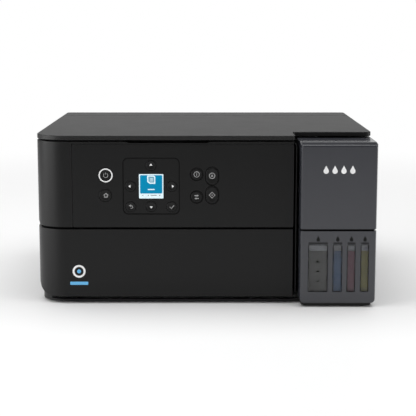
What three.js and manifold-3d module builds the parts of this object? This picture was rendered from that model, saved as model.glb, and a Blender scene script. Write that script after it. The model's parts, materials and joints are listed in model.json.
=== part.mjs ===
// Ink tank multifunction printer: flatbed scanner, tilting control panel, front paper
// output, rear paper feed and a refillable ink tank unit at the right-hand front corner.
// Millimetres. +X is to the user's right, +Y to the back, +Z up. The origin is at the
// centre of the footprint, on the table.

import * as THREE from 'three';
import { mergeVertices } from 'three/addons/utils/BufferGeometryUtils.js';
import Module from 'manifold-3d';

const wasm = await Module();
wasm.setup();

// ---------------------------------------------------------------- driving dimensions

const WIDTH = 375;
const DEPTH = 347;
const HEIGHT = 187.7;
const GAP = 0.3;
const WALL = 2.5;

const LEFT = -WIDTH / 2;
const RIGHT = WIDTH / 2 - GAP;
const FRONT = -156.4;
const BACK = DEPTH / 2;
const CORNER_R = 33;
const BASE_Z = 8;
const FOOT_Z = 3;
const PLINTH_Z = 1.2;
const SEAM_Z = 84;
const UPPER_Z = 86.4;
const EDGE_FILLET = 16;

// body front and tank unit
const BODY_END_X = 97.6;
const TANK_X = [103.6, RIGHT];
const TANK_Y = [-DEPTH / 2, -114.5];
const TANK_SEAM_Z = 84.9;
const TANK_COVER_Z = [87.1, 181.2];
const TANK_FOOT_Z = 4.8;
const TANK_BAY_Y = -112;
const WINDOW_Z = [17, 70.2];
const WINDOWS_X = [[112.6, 134.4], [139.6, 150.1], [155.2, 164.5], [170, 179.2]];
const INK_NAMES = ['black', 'cyan', 'magenta', 'yellow'];

// scanner unit and lid
const SCAN_FLOOR_Z = 140;
const SCAN_TOP_Z = 177;
const BEZEL_Z = [SCAN_TOP_Z + GAP, 181];
const BEZEL_LIP_Z = 178.6;
const SCAN_FRONT = -139;
const SCAN_BACK = 116;
const SCAN_NOTCH_Y = -108;
const LID_Z = [182.8, HEIGHT];
const LID_NOTCH = [98.4, -111.8];
const GLASS_X = [-168, 129];
const GLASS_Y = [-104, 112];

// control panel
const PANEL_X = [-145.7, BODY_END_X - GAP];
const PANEL_Z = [UPPER_Z, 178.3];
const PANEL_BACK_Y = -145.5;

// front cover, output mouth and tray
const COVER_BACK_Y = -146;
const WRAP_BACK_Y = -124;
const MOUTH_X = [-128, 88];
const MOUTH_Z = [26, 82];
const CHUTE_Y = [-136, -93];

// rear feeder
const REAR_CASE_Y = 119.2;
const REAR_COVER_Y = [118.5, 169.4];
const REAR_RIM_Z = 182.5;
const HOPPER_LOW = [88, 62];
const HOPPER_HIGH = [158, 176];

// print mechanism
const SIDE_PLATE_X = 168;
const PLATE_T = 1.2;
const ROLLER_Z = 34.2;
const FEED_Y = -6;
const GEAR_MODULE = 1.5;
const FEED_TEETH = 24;
const TRANSFER_TEETH = 28;
const PINION_TEETH = 10;
const GEAR_X = [-175.5, -170.5];
const ROD_YZ = [24, 88];
const ROD_R = 4;
const BELT_Z = 108;
const PULLEY_X = [-150, 156];
const PULLEY_R = 6;
const PICKUP_YZ = [86, 92.5];
const PICKUP_R = 16;

// ---------------------------------------------------------------- materials

function material(color, roughness, metalness = 0, opacity = 1) {
  const m = new THREE.MeshStandardMaterial({ color, roughness, metalness });
  m.opacity = opacity;
  m.transparent = opacity < 1;
  return m;
}

const BLACK = material(0x232425, 0.5);
const LID_BLACK = material(0x2b2c2e, 0.42);
const INNER_BLACK = material(0x1b1b1c, 0.65);
const SMOKE = material(0x47484b, 0.35);
const GREY = material(0x6d6f72, 0.6);
const WHITE = material(0xe9e9e6, 0.7);
const CLEAR = material(0xc9d3d6, 0.1, 0, 0.5);
const TANK_CLEAR = material(0xb9bdbf, 0.3, 0, 0.6);
const SCREEN = material(0x1b9bd1, 0.2);
const KEY = material(0x2d2e30, 0.45);
const STEEL = material(0xb4b6b8, 0.35, 0.9);
const RUBBER = material(0x1d1d1e, 0.9);
const PCB = material(0x1e5a38, 0.6);
const INK_KEYS = [0x2a2b2e, 0x2f7fb5, 0xb0407a, 0xc9b23a].map((c) => material(c, 0.5));

// ---------------------------------------------------------------- solids

const group = new THREE.Group();
const ALONG_X = new THREE.Matrix4().set(0, 0, 1, 0, 1, 0, 0, 0, 0, 1, 0, 0, 0, 0, 0, 1);

function solid(geometry) {
  const bare = geometry.clone();
  bare.deleteAttribute('normal');
  bare.deleteAttribute('uv');
  const merged = mergeVertices(bare, 1e-4);
  const vertProperties = new Float32Array(merged.attributes.position.array);
  const triVerts = new Uint32Array(merged.index.array);
  return new wasm.Manifold(new wasm.Mesh({ numProp: 3, vertProperties, triVerts }));
}

function add(name, look, shape) {
  const { vertProperties, triVerts } = shape.getMesh();
  const geometry = new THREE.BufferGeometry();
  geometry.setAttribute('position', new THREE.BufferAttribute(vertProperties, 3));
  geometry.setIndex(new THREE.BufferAttribute(triVerts, 1));
  geometry.computeVertexNormals();
  const mesh = new THREE.Mesh(geometry, look);
  mesh.name = name;
  group.add(mesh);
}

function join(shapes) {
  return shapes.reduce((whole, next) => whole.add(next));
}

function cut(shape, tools) {
  return tools.reduce((rest, tool) => rest.subtract(tool), shape);
}

function box([x0, x1], [y0, y1], [z0, z1]) {
  const geometry = new THREE.BoxGeometry(x1 - x0, y1 - y0, z1 - z0);
  geometry.translate((x0 + x1) / 2, (y0 + y1) / 2, (z0 + z1) / 2);
  return solid(geometry);
}

// A rod along 'x', 'y' or 'z', from low to high, centred on the two other coordinates.
function rod(axis, [low, high], [a, b], radius, sides = 16) {
  const geometry = new THREE.CylinderGeometry(radius, radius, high - low, sides);
  const middle = (low + high) / 2;
  if (axis === 'x') {
    geometry.rotateZ(Math.PI / 2);
    geometry.translate(middle, a, b);
  } else if (axis === 'y') {
    geometry.translate(a, middle, b);
  } else {
    geometry.rotateX(Math.PI / 2);
    geometry.translate(a, b, middle);
  }
  return solid(geometry);
}

// A closed outline from [x, y, radius] corners, each rounded by an arc.
function outline(corners) {
  const shape = new THREE.Shape();
  const count = corners.length;
  let started = false;
  const draw = (x, y) => {
    if (started) shape.lineTo(x, y);
    else shape.moveTo(x, y);
    started = true;
  };
  corners.forEach(([x, y, radius = 0], i) => {
    if (radius <= 0) {
      draw(x, y);
      return;
    }
    const here = new THREE.Vector2(x, y);
    const before = new THREE.Vector2(...corners[(i + count - 1) % count]).sub(here).normalize();
    const after = new THREE.Vector2(...corners[(i + 1) % count]).sub(here).normalize();
    const half = Math.acos(before.dot(after)) / 2;
    const centre = before.clone().add(after).normalize();
    centre.multiplyScalar(radius / Math.sin(half)).add(here);
    const start = before.multiplyScalar(radius / Math.tan(half)).add(here);
    const end = after.multiplyScalar(radius / Math.tan(half)).add(here);
    const from = Math.atan2(start.y - centre.y, start.x - centre.x);
    let sweep = Math.atan2(end.y - centre.y, end.x - centre.x) - from;
    if (sweep > Math.PI) sweep -= 2 * Math.PI;
    if (sweep < -Math.PI) sweep += 2 * Math.PI;
    const steps = Math.max(2, Math.round((Math.abs(sweep) * Math.sqrt(radius)) / 1.2));
    for (let k = 0; k <= steps; k += 1) {
      const angle = from + (sweep * k) / steps;
      draw(centre.x + radius * Math.cos(angle), centre.y + radius * Math.sin(angle));
    }
  });
  return shape;
}

function extrude(shape, depth) {
  return new THREE.ExtrudeGeometry(shape, { depth, bevelEnabled: false, curveSegments: 8 });
}

// Prisms from an outline seen from above, from the front, or from the side (y, z).
function plan(shape, [z0, z1]) {
  return solid(extrude(shape, z1 - z0).translate(0, 0, z0));
}

function frontal(shape, [y0, y1]) {
  return solid(extrude(shape, y1 - y0).rotateX(Math.PI / 2).translate(0, y1, 0));
}

function side(shape, [x0, x1]) {
  return solid(extrude(shape, x1 - x0).applyMatrix4(ALONG_X).translate(x0, 0, 0));
}

function rounded([x0, x1], [y0, y1], r) {
  const [a, b, c, d] = Array.isArray(r) ? r : [r, r, r, r];
  return outline([[x0, y0, a], [x1, y0, b], [x1, y1, c], [x0, y1, d]]);
}

function grow([low, high], by) {
  return [low - by, high + by];
}

// ---------------------------------------------------------------- lower case

// The whole lower body, shrunk by an inset, with its turned-up left edge.
function lowerBody(inset, [z0, z1]) {
  const left = LEFT + inset;
  const right = RIGHT + GAP - inset;
  const footprint = outline([
    [left, FRONT + inset, CORNER_R - inset],
    [BODY_END_X - inset, FRONT + inset, 0],
    [BODY_END_X - inset, TANK_BAY_Y + inset, 0],
    [right, TANK_BAY_Y + inset, 0],
    [right, BACK - inset, 10 - inset],
    [left, BACK - inset, 10 - inset],
  ]);
  const face = rounded([left, right], [z0, z1], [EDGE_FILLET - inset, 4, 0, 0]);
  return plan(footprint, [z0, z1]).intersect(frontal(face, [-200, 200]));
}

const FOOT_R = 9;
const FIN_X = [99.7, 100.7];
const FEET = [
  ['foot_front_left', -150, -117, FOOT_Z],
  ['foot_front_right', 165, -150, TANK_FOOT_Z],
  ['foot_rear_left', -150, 142, FOOT_Z],
  ['foot_rear_right', 160, 142, FOOT_Z],
];
const INLET_X = [58, 88];
const INLET_Z = [18, 40];
const USB_X = [-112, -96];
const USB_Z = [21, 34];

function bottomCase() {
  const shell = lowerBody(0, [BASE_Z, SEAM_Z]).subtract(lowerBody(WALL, [BASE_Z + WALL, SEAM_Z + 9]));
  const coverBay = box([-190, BODY_END_X + 0.1], [-160, -142.3], [0, 90]);
  const wrapBay = box([-190, -170.7], [-143, WRAP_BACK_Y + 1], [0, 90]);
  const case_ = cut(shell, [
    coverBay,
    wrapBay,
    box(grow(INLET_X, GAP), [BACK - 4, BACK + 4], grow(INLET_Z, GAP)),
    box(grow(USB_X, GAP), [BACK - 4, BACK + 4], grow(USB_Z, GAP)),
  ]);
  const lipX = [LEFT + WALL + GAP, LEFT + WALL + 2];
  const lipY = [WRAP_BACK_Y + 1, REAR_CASE_Y - 1];
  const seamLip = [
    box([LEFT + 1, lipX[1]], lipY, [SEAM_Z - 6, SEAM_Z - 0.5]),
    box(lipX, lipY, [SEAM_Z - 1, UPPER_Z - 0.5]),
  ];
  const highZ = [SEAM_Z - 1, SCAN_FLOOR_Z - 1.5];
  const walls = [
    box([RIGHT + GAP - WALL, RIGHT + GAP], [TANK_BAY_Y, REAR_CASE_Y - 0.6], highZ),
    box([BODY_END_X, RIGHT + GAP], [TANK_BAY_Y, TANK_BAY_Y + WALL], highZ),
    box([BODY_END_X - WALL, BODY_END_X], [-136, TANK_BAY_Y + WALL], highZ),
  ];
  const plinthLine = (inset) => outline([
    [-184 + inset, -149.5 + inset, 30 - inset],
    [106 + inset, -149.5 + inset, 0],
    [106 + inset, -169 + inset, 3],
    [183 - inset, -169 + inset, 3],
    [183 - inset, 166 - inset, 6],
    [-184 + inset, 166 - inset, 6],
  ]);
  const plinth = cut(plan(plinthLine(0), [PLINTH_Z, BASE_Z + 14]), [
    plan(plinthLine(4), [0, BASE_Z + 15]),
    lowerBody(1, [BASE_Z + 1, SEAM_Z]),
    lowerBody(-0.6, [BASE_Z - 0.4, SEAM_Z]).intersect(box([-200, BODY_END_X], [-200, WRAP_BACK_Y + 1], [0, 90])),
    box([-172, BODY_END_X + 1], [-160, -142.2], [3.7, 90]),
    box([BODY_END_X, 200], [-200, TANK_BAY_Y], [TANK_FOOT_Z - GAP, 90]),
  ]);
  const fin = side(outline([
    [FRONT + 1.4, BASE_Z + 4],
    [TANK_BAY_Y + 1, BASE_Z + 4],
    [TANK_BAY_Y + 1, SCAN_FLOOR_Z - 2],
    [TANK_BAY_Y - 1.6, SCAN_FLOOR_Z - 2],
    [TANK_BAY_Y - 1.6, SCAN_TOP_Z],
    [FRONT + 1.4, SCAN_TOP_Z],
  ]), FIN_X);
  const pads = FEET.filter(([, , y]) => y > -140).map(([, x, y]) => (
    rod('z', [FOOT_Z, BASE_Z + 1], [x, y], FOOT_R + 3, 20)));
  return join([case_, ...seamLip, ...walls, plinth, fin, ...pads]);
}

add('bottom_case', BLACK, bottomCase());

FEET.forEach(([name, x, y, top]) => add(name, RUBBER, rod('z', [0, top - GAP], [x, y], FOOT_R, 20)));

function rearCase() {
  const outer = rounded([LEFT, RIGHT + GAP], [REAR_CASE_Y, BACK], [0, 0, 10, 10]);
  const inner = rounded(
    [LEFT + WALL, RIGHT + GAP - WALL],
    [REAR_CASE_Y + WALL, BACK - WALL],
    [0, 0, 10 - WALL, 10 - WALL],
  );
  return cut(plan(outer, [SEAM_Z + GAP, REAR_RIM_Z]), [
    plan(inner, [0, REAR_RIM_Z - 4]),
    plan(inner, [REAR_RIM_Z - 1.5, 200]),
    box([-185, 184.8], [REAR_CASE_Y - 1, REAR_CASE_Y + WALL + 0.1], [0, 156]),
    box([-146, 106], [124, BACK - WALL], [150, 200]),
    box([-200, 200], [162, BACK - WALL], [REAR_RIM_Z - 1.5, 200]),
  ]);
}

add('rear_case', BLACK, rearCase());

function rearCover() {
  const line = (inset) => rounded(
    [LEFT + inset, RIGHT - inset],
    [REAR_COVER_Y[0] + inset, REAR_COVER_Y[1] - inset],
    [1, 1, 5, 5],
  );
  return plan(line(0), LID_Z).subtract(plan(line(WALL), [LID_Z[0] - 1, HEIGHT - 2.4]));
}

add('rear_cover', LID_BLACK, rearCover());

// ---------------------------------------------------------------- output side

function outputFrame() {
  const plate = frontal(
    outline([[-181.6, 92], [-181.6, 42], [-169.8, 38], [-169.8, 11], [94.6, 11], [94.6, 92]]),
    [CHUTE_Y[0], CHUTE_Y[0] + WALL],
  );
  const block = box(grow(MOUTH_X, WALL), [CHUTE_Y[0] + 1, CHUTE_Y[1]], [22, MOUTH_Z[1]]);
  const mouth = box(MOUTH_X, [CHUTE_Y[0] - 1, CHUTE_Y[1] + 1], MOUTH_Z);
  const above = box(grow(MOUTH_X, WALL + 1), [CHUTE_Y[0] + WALL, CHUTE_Y[1] + 1], [46, 90]);
  return cut(join([plate, block.subtract(above)]), [mouth]);
}

add('output_frame', INNER_BLACK, outputFrame());

const LINER_X = [-126, 86];
const LINER_Y = [-143.5, -141];
const LINER_Z = [14, 80];

function frontCover() {
  const skinZ = [BASE_Z + 0.2, SEAM_Z];
  const skin = cut(lowerBody(0, skinZ), [
    lowerBody(WALL, [skinZ[0] + WALL, skinZ[1] - WALL]),
    lowerBody(WALL, [skinZ[0] + WALL, SEAM_Z + 9]).intersect(box([-200, 200], [COVER_BACK_Y, 200], [0, 99])),
    box([-171, 200], [COVER_BACK_Y, 200], [0, 90]),
    box([-200, 200], [WRAP_BACK_Y, 200], [0, 90]),
    box([BODY_END_X - GAP, 200], [-200, 200], [0, 90]),
  ]);
  const inY = [FRONT + 1, LINER_Y[1]];
  const liner = [
    box(LINER_X, LINER_Y, LINER_Z),
    box([LINER_X[0], LINER_X[0] + WALL], inY, LINER_Z),
    box([LINER_X[1] - WALL, LINER_X[1]], inY, LINER_Z),
    box(LINER_X, inY, [LINER_Z[1] - WALL, LINER_Z[1]]),
  ];
  return join([skin, ...liner]);
}

add('front_cover', BLACK, frontCover());

const SLIDE_X = [-75, 35];
const SLIDE_Y = [LINER_Y[1] + GAP, LINER_Y[1] + GAP + 2.3];
const STOPPER_X = [-50, 10];

function trayExtension() {
  const face = outline([
    [SLIDE_X[0], 18, 2], [SLIDE_X[1], 18, 2], [SLIDE_X[1], 78, 8], [SLIDE_X[0], 78, 8],
  ]);
  return frontal(face, SLIDE_Y);
}

add('tray_extension', INNER_BLACK, trayExtension());
add('tray_stopper', INNER_BLACK, frontal(
  rounded(STOPPER_X, [58, 77], [4, 4, 1, 1]),
  [SLIDE_Y[1] + GAP, SLIDE_Y[1] + GAP + 1.8],
));

// ---------------------------------------------------------------- scanner unit

const COLUMN_X = PANEL_X[0] - GAP;

const PAN_CORNER = [-157, -117.7];

// The scanner housing seen from above, less the front left corner, which the bezel wraps.
function scannerPan(inset) {
  return outline([
    [LEFT + inset, PAN_CORNER[1] + inset],
    [PAN_CORNER[0] + inset, PAN_CORNER[1] + inset],
    [PAN_CORNER[0] + inset, SCAN_FRONT + inset],
    [LID_NOTCH[0] - inset, SCAN_FRONT + inset],
    [LID_NOTCH[0] - inset, SCAN_NOTCH_Y + inset],
    [RIGHT - inset, SCAN_NOTCH_Y + inset],
    [RIGHT - inset, SCAN_BACK - inset],
    [LEFT + inset, SCAN_BACK - inset],
  ]);
}

const RAIL_Y = [0, 10];
const RAIL_TOP_Z = SCAN_FLOOR_Z + 10;

const SKIRT_Z = [UPPER_Z, SCAN_FLOOR_Z + 1];
const GRIP = frontal(
  outline([[LEFT - 2, UPPER_Z - 1], [LEFT + 4, UPPER_Z - 1], [LEFT, UPPER_Z + 5], [LEFT - 2, UPPER_Z + 5]]),
  [-150, SCAN_BACK - 12],
);

function scannerBase() {
  const pan = plan(scannerPan(0), [SCAN_FLOOR_Z, SCAN_TOP_Z])
    .subtract(plan(scannerPan(WALL), [SCAN_FLOOR_Z + WALL, SCAN_TOP_Z + 1]));
  const leftWall = box([LEFT, LEFT + WALL], [PAN_CORNER[1], SCAN_BACK], SKIRT_Z);
  const lip = box([LEFT + 1, LEFT + 6], [PAN_CORNER[1], SCAN_BACK - 4], [UPPER_Z, 97]);
  const rail = box([LEFT + 1, 150], RAIL_Y, [SCAN_FLOOR_Z + 1, RAIL_TOP_Z]);
  return join([pan, leftWall, lip, rail]).subtract(GRIP);
}

add('scanner_base', BLACK, scannerBase());

// The front left corner as far back as a given y, cut square where it meets the panel.
function cornerPlan(inset, endX, endY) {
  return outline([
    [LEFT + inset, FRONT + inset, CORNER_R - inset], [endX, FRONT + inset], [endX, endY], [LEFT + inset, endY],
  ]);
}

// The frame round the glass, its lip over the control panel and its wrap round the front left corner.
function scannerBezel() {
  const wrapEnd = PAN_CORNER[1] - GAP;
  const wrapZ = [UPPER_Z, BEZEL_LIP_Z + 1];
  const lipZ = [BEZEL_LIP_Z, BEZEL_Z[1]];
  const wrap = cut(plan(cornerPlan(0, COLUMN_X, wrapEnd), wrapZ), [
    plan(cornerPlan(WALL, COLUMN_X - 8, wrapEnd + 30), grow(wrapZ, 1)),
    box([COLUMN_X - 9, COLUMN_X + 1], [SCAN_FRONT - GAP, -90], [0, SCAN_TOP_Z]),
  ]);
  const scoop = frontal(
    outline([[-86.5, BEZEL_Z[1] + 0.1], [-83.5, 179.7], [2.5, 179.7], [5.5, BEZEL_Z[1] + 0.1]]),
    [FRONT - 1, FRONT + 14],
  );
  return cut(join([
    wrap,
    plan(scannerPan(0), BEZEL_Z),
    plan(cornerPlan(0, COLUMN_X, PAN_CORNER[1] + 1), lipZ),
    box([COLUMN_X - 1, PANEL_X[1]], [FRONT, SCAN_FRONT + 1], lipZ),
  ]), [
    plan(rounded(GLASS_X, GLASS_Y, 2), grow(BEZEL_Z, 1)),
    scoop,
    GRIP,
  ]);
}

add('scanner_bezel', BLACK, scannerBezel());

const GLASS_RIM = 1.2;
add('scanner_glass', CLEAR, box(
  grow(GLASS_X, 2.5),
  grow(GLASS_Y, GLASS_RIM),
  [SCAN_TOP_Z - 2.9, SCAN_TOP_Z],
));

const HEAD_X = -172;
function scanHead() {
  const bar = box([HEAD_X - 11, HEAD_X + 11], [-102, 110], [SCAN_FLOOR_Z + 14, SCAN_TOP_Z - 3.6]);
  const saddle = box([HEAD_X - 11, HEAD_X + 11], grow(RAIL_Y, 8), [SCAN_FLOOR_Z + 5, SCAN_FLOOR_Z + 15]);
  const groove = box([-200, 0], grow(RAIL_Y, 0.4), [0, RAIL_TOP_Z + 0.4]);
  return join([bar, saddle]).subtract(groove);
}

add('scan_head', INNER_BLACK, scanHead());

function lidFootprint(inset) {
  return outline([
    [LEFT + inset, FRONT + inset, CORNER_R - inset],
    [LID_NOTCH[0] - inset, FRONT + inset, 4],
    [LID_NOTCH[0] - inset, LID_NOTCH[1] + inset, 4],
    [RIGHT - inset, LID_NOTCH[1] + inset, 6],
    [RIGHT - inset, SCAN_BACK - inset, 2],
    [LEFT + inset, SCAN_BACK - inset, 2],
  ]);
}

add('lid', LID_BLACK, plan(lidFootprint(0), LID_Z)
  .subtract(plan(lidFootprint(2.4), [LID_Z[0] - 1, HEIGHT - 2.4])));
add('lid_pad', WHITE, plan(rounded(grow(GLASS_X, 2), GLASS_Y, 6), [BEZEL_Z[1] + 0.6, HEIGHT - 2.7]));

// ---------------------------------------------------------------- control panel

const NAV_X = [-89.7, -28.3];
const NAV_Z = [101.2, 163];
const LCD_X = [-72.9, -45.5];
const LCD_Z = [118.3, 146];
const KEY_Y = [FRONT - 0.2, FRONT + 5];
const NAV_Y = [FRONT + 0.3, FRONT + 5];

const ROUND_KEYS = [
  ['power_button', -109.4, 144.3, 8.4, KEY_Y],
  ['home_button', -109.6, 121.9, 7, KEY_Y],
  ['help_button', -9.2, 145.2, 6.3, KEY_Y],
  ['two_sided_button', -9.3, 120.1, 6.3, KEY_Y],
  ['up_button', -59.3, 155, 5.8, NAV_Y],
  ['down_button', -59.3, 109.6, 5.8, NAV_Y],
  ['left_button', -81.8, 132, 5.8, NAV_Y],
  ['right_button', -36.6, 132, 5.8, NAV_Y],
  ['back_button', -81.8, 109.2, 5.8, NAV_Y],
  ['ok_button', -36.6, 109.2, 5.8, NAV_Y],
];
const LONG_KEYS = [
  ['stop_button', [1.1, 14.3], [133.8, 152.6]],
  ['start_button', [1.1, 14.3], [112.9, 131.7]],
];

function capsule([x0, x1], z, by = 0) {
  const radius = (x1 - x0) / 2 + by;
  return rounded(grow([x0, x1], by), grow(z, by), radius - 0.01);
}

function controlPanel() {
  const face = (inset) => rounded(grow(PANEL_X, -inset), grow(PANEL_Z, -inset), 1.5);
  const shell = frontal(face(0), [FRONT, PANEL_BACK_Y])
    .subtract(frontal(face(WALL), [FRONT + 2.4, PANEL_BACK_Y + 1]));
  const through = [FRONT - 1, FRONT + 4];
  return cut(shell, [
    frontal(rounded(NAV_X, NAV_Z, 5.5), [FRONT - 1, FRONT + 0.5]),
    box(grow(LCD_X, GAP), through, grow(LCD_Z, GAP)),
    ...ROUND_KEYS.map(([, x, z, r]) => rod('y', through, [x, z], r + GAP, 20)),
    ...LONG_KEYS.map(([, x, z]) => frontal(capsule(x, z, GAP), through)),
  ]);
}

add('control_panel', BLACK, controlPanel());
add('panel_back', INNER_BLACK, frontal(
  rounded(PANEL_X, PANEL_Z, 1.5),
  [PANEL_BACK_Y + GAP, PANEL_BACK_Y + GAP + 2],
));
add('lcd_screen', SCREEN, frontal(rounded(LCD_X, LCD_Z, 0.5), [FRONT + 0.4, FRONT + 6]));

ROUND_KEYS.forEach(([name, x, z, r, y]) => add(name, KEY, rod('y', y, [x, z], r, 20)));
LONG_KEYS.forEach(([name, x, z]) => add(name, KEY, frontal(capsule(x, z), KEY_Y)));

// ---------------------------------------------------------------- ink tank unit

const NECK_Y = -150;
const NECK_R = 5.4;
const NECK_BORE_R = 3.9;
const NECK_TOP_Z = 92;
const NECKS_X = WINDOWS_X.map(([x0, x1]) => (x0 + x1) / 2);
const CHAMBERS_X = [[109.6, 136.2], [137.8, 152], [153.6, 166.4], [168, 182.4]];

function tankPlan(inset) {
  return rounded(grow(TANK_X, -inset), grow(TANK_Y, -inset), [3.5, 3.5, 1, 1]);
}

function tankHousing() {
  const outer = plan(tankPlan(0), [TANK_FOOT_Z, TANK_SEAM_Z])
    .intersect(frontal(rounded(TANK_X, [TANK_FOOT_Z, TANK_SEAM_Z], [5, 5, 0, 0]), [-200, 0]));
  const inner = plan(tankPlan(WALL), [TANK_FOOT_Z + WALL, TANK_SEAM_Z - WALL]);
  const backX = grow(TANK_X, -WALL - GAP);
  const backWall = box(backX, [TANK_Y[1] - WALL, TANK_Y[1]], [TANK_SEAM_Z - 1, 172]);
  const hingeRail = box(backX, [-130, -124], [TANK_SEAM_Z - 1, 90]);
  return cut(join([outer.subtract(inner), backWall, hingeRail]), [
    ...WINDOWS_X.map((x) => frontal(rounded(x, WINDOW_Z, 1), [TANK_Y[0] - 1, TANK_Y[0] + 4])),
    ...NECKS_X.map((x) => rod('z', [TANK_SEAM_Z - 4, TANK_SEAM_Z + 2], [x, NECK_Y], NECK_R + 0.6, 20)),
  ]);
}

add('tank_housing', SMOKE, tankHousing());

function inkTank() {
  const z = [TANK_FOOT_Z + WALL + 1, 79];
  const block = plan(rounded([TANK_X[0] + WALL + GAP, 184], [TANK_Y[0] + WALL + GAP, -120], [4, 4, 0, 0]), z);
  const windows = WINDOWS_X.map((x) => (
    box(grow(x, -GAP), [TANK_Y[0] + 0.9, TANK_Y[0] + 5], grow(WINDOW_Z, -GAP))));
  const necks = NECKS_X.map((x) => rod('z', [z[1] - 1, NECK_TOP_Z], [x, NECK_Y], NECK_R));
  const chambers = CHAMBERS_X.map((x) => box(x, [TANK_Y[0] + 4.4, -121.6], grow(z, -1.6)));
  const bores = NECKS_X.map((x) => rod('z', [z[1] - 3, NECK_TOP_Z + 1], [x, NECK_Y], NECK_BORE_R));
  return cut(join([block, ...windows, ...necks]), [...chambers, ...bores]);
}

add('ink_tank', TANK_CLEAR, inkTank());

const CAP_PIVOT = [-128, 93.9];

INK_NAMES.forEach((ink, i) => {
  const x = NECKS_X[i];
  const lever = side(
    outline([[-160.5, 92.4, 0.5], [-128, 92.4], [-128, 95.4], [-157, 95.4], [-160.5, 94, 0.5]]),
    [x - 5.4, x + 5.4],
  );
  add(`tank_cap_${ink}`, INK_KEYS[i], join([
    lever,
    rod('x', [x - 5.4, x + 5.4], CAP_PIVOT, 2.6, 12),
    rod('z', [NECK_TOP_Z - 1.6, 93], [x, NECK_Y], NECK_BORE_R - 0.6),
    rod('z', [94, 97], [x, NECK_Y], 4.4),
  ]));
});

// The flap over the filling necks: its top steps down and slopes to a rounded front edge.
function tankCover() {
  const profile = (inset) => outline([
    [TANK_Y[0] + inset, TANK_COVER_Z[0] - (inset ? 5 : 0)],
    [TANK_Y[1] + (inset ? 5 : 0), TANK_COVER_Z[0] - (inset ? 5 : 0)],
    [TANK_Y[1] + (inset ? 5 : 0), TANK_COVER_Z[1] - inset],
    [TANK_Y[0] + 14, TANK_COVER_Z[1] - inset],
    [TANK_Y[0] + 13.6, TANK_COVER_Z[1] - 0.4 - inset],
    [TANK_Y[0] + inset, TANK_COVER_Z[1] - 1.7 - inset, inset ? 0.5 : 2.6],
  ]);
  const outer = side(profile(0), TANK_X).intersect(plan(tankPlan(0), [0, 200]));
  const innerPlan = rounded(grow(TANK_X, -2.4), [TANK_Y[0] + 2.4, 0], [1.1, 1.1, 0, 0]);
  const inner = side(profile(2.4), grow(TANK_X, -2.4)).intersect(plan(innerPlan, [0, 200]));
  return outer.subtract(inner);
}

add('tank_cover', SMOKE, tankCover());

// ---------------------------------------------------------------- print mechanism

const EXIT_Y = FEED_Y - GEAR_MODULE * (FEED_TEETH + TRANSFER_TEETH);
const TRANSFER_Y = (FEED_Y + EXIT_Y) / 2;
const PINION_Y = FEED_Y + (GEAR_MODULE * (FEED_TEETH + PINION_TEETH)) / 2;
const PINCH_Z = 44.6;
const PAPER_X = [-125, 85];

// A spur gear seen from the side; one tooth is centred on the phase angle.
function gear(teeth, [y, z], phase) {
  const pitch = (GEAR_MODULE * teeth) / 2;
  const tip = pitch + 0.8 * GEAR_MODULE;
  const root = pitch - 1.1 * GEAR_MODULE;
  const halfTooth = 0.21 * Math.PI * GEAR_MODULE;
  const points = [];
  for (let i = 0; i < teeth; i += 1) {
    const middle = phase + (2 * Math.PI * i) / teeth;
    const ring = [
      [root, -halfTooth / pitch],
      [pitch, -halfTooth / pitch],
      [tip, (-0.5 * halfTooth) / tip],
      [tip, (0.5 * halfTooth) / tip],
      [pitch, halfTooth / pitch],
      [root, halfTooth / pitch],
    ];
    ring.forEach(([r, a]) => points.push([y + r * Math.cos(middle + a), z + r * Math.sin(middle + a)]));
  }
  return side(outline(points), GEAR_X);
}

function mainFrame() {
  const cheek = outline([
    [-92, 11], [40 + PLATE_T, 11], [40 + PLATE_T, 118, 3], [10, 118, 3], [-10, 60, 6], [-92, 50, 6],
  ]);
  const holes = [
    rod('x', [-200, 200], [EXIT_Y, ROLLER_Z], 3.9),
    rod('x', [-200, 200], [FEED_Y, ROLLER_Z], 3.9),
    rod('x', [-200, 200], [FEED_Y, PINCH_Z], 2.4),
    rod('x', [-200, 0], [TRANSFER_Y, ROLLER_Z], 3.4),
    rod('x', [-200, 0], [PINION_Y, ROLLER_Z], 2.4),
    rod('x', [-200, 200], ROD_YZ, ROD_R + GAP),
    ...PULLEY_X.map((x) => rod('y', [30, 50], [x, BELT_Z], 3)),
  ];
  return cut(join([
    side(cheek, [-SIDE_PLATE_X, -SIDE_PLATE_X + PLATE_T]),
    side(cheek, [SIDE_PLATE_X - PLATE_T, SIDE_PLATE_X]),
    box([-SIDE_PLATE_X, SIDE_PLATE_X], [40, 40 + PLATE_T], [62, 118]),
    box([-SIDE_PLATE_X, -SIDE_PLATE_X + 16], [-60, 30], [11, 11 + PLATE_T]),
    box([SIDE_PLATE_X - 16, SIDE_PLATE_X], [-60, 30], [11, 11 + PLATE_T]),
  ]), holes);
}

add('main_frame', STEEL, mainFrame());
add('guide_rod', STEEL, rod('x', [-170, 170], ROD_YZ, ROD_R));

const CARRIAGE_X = [80, 150];

function printCarriage() {
  const profile = outline([
    [-72, 57, 2], [-60, 52, 2], [-26, 52, 2], [-19, 60, 2], [-17, 76, 2], [33, 76, 2],
    [33, 100, 3], [14, 104], [12, 116, 3], [-66, 116, 4], [-72, 106, 4],
  ]);
  const clamp = box([108, 122], [32, 34.2], [97, BELT_Z - PULLEY_R - 1.6]);
  const nozzles = box([92, 138], [-60, -30], [44, 53]);
  return cut(join([side(profile, CARRIAGE_X), clamp, nozzles]), [
    rod('x', [0, 200], ROD_YZ, ROD_R + 0.4),
    box([0, 200], [4, 8], [94, 120]),
    box([84, 146], [-62, 0], [100, 120]),
  ]);
}

add('print_carriage', INNER_BLACK, printCarriage());

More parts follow.
